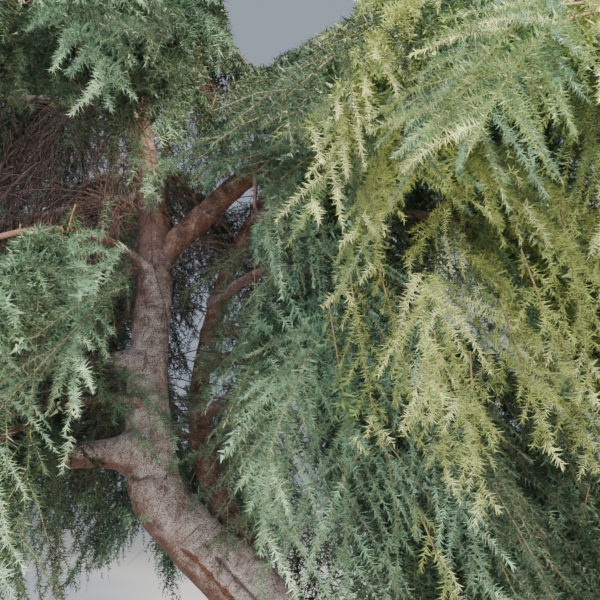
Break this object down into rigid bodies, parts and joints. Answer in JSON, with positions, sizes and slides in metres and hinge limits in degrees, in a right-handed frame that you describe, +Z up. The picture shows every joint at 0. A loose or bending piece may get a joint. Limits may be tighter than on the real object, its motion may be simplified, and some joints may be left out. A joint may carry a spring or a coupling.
{
  "type": "cedar tree",
  "caption": "Weeping cedar with a leaning, sweeping trunk, a rear stem, spreading boughs and hanging curtains of blue-green and yellow-green needles.",
  "frame": {"origin": "centre of the flat cut under the trunk, at ground level", "axes": "+Z up, +X to the right in the picture, -Y towards the picture's viewer"},
  "size_m": [6.1662, 5.1551, 6.9145],
  "materials": {
    "bark": "rough, pitted bark",
    "dead_twigs": "dry, matte dead twigs",
    "needles": "waxy blue-green needles",
    "needles_sunlit": "waxy yellow-green needles"
  },
  "bodies": {
    "root": {"trunk": "bark", "rear_stem": "bark", "right_limb": "bark", "bough_back_left": "bark", "bough_back_low": "bark", "bough_back_right": "bark", "bough_front_high": "bark", "bough_front_left": "bark", "bough_front_left_low": "bark", "bough_front_top": "bark", "bough_left_back": "bark", "bough_left_high": "bark", "bough_left_low": "bark", "bough_left_mid": "bark", "bough_limb_front": "bark", "bough_limb_middle": "bark", "bough_limb_outer": "bark", "bough_middle_high": "bark", "bough_middle_low": "bark", "bough_right_low": "bark", "bough_right_mid": "bark", "foliage_back_high": "needles", "foliage_back_left": "needles", "foliage_back_low": "needles", "foliage_back_middle": "needles", "foliage_back_right": "needles", "foliage_crown_1": "needles", "foliage_crown_2": "needles", "foliage_crown_3": "needles", "foliage_crown_4": "needles", "foliage_crown_5": "needles", "foliage_crown_6": "needles", "foliage_crown_7": "needles", "foliage_crown_8": "needles", "foliage_crown_tip": "needles", "foliage_front_high": "needles", "foliage_front_left": "needles", "foliage_front_left_low": "needles", "foliage_front_top": "needles", "foliage_left_back": "needles", "foliage_left_high": "needles", "foliage_left_low": "needles", "foliage_left_mid": "needles", "foliage_limb_back": "needles", "foliage_limb_front": "needles", "foliage_limb_middle": "needles_sunlit", "foliage_limb_outer": "needles_sunlit", "foliage_limb_tip": "needles_sunlit", "foliage_middle_high": "needles_sunlit", "foliage_middle_low": "needles", "foliage_right_low": "needles_sunlit", "foliage_right_mid": "needles_sunlit", "foliage_summit_1": "needles", "foliage_summit_2": "needles", "foliage_summit_3": "needles", "foliage_summit_4": "needles", "foliage_summit_5": "needles", "foliage_summit_6": "needles", "foliage_summit_tip": "needles", "dead_twigs": "dead_twigs"}
  },
  "joints": []
}
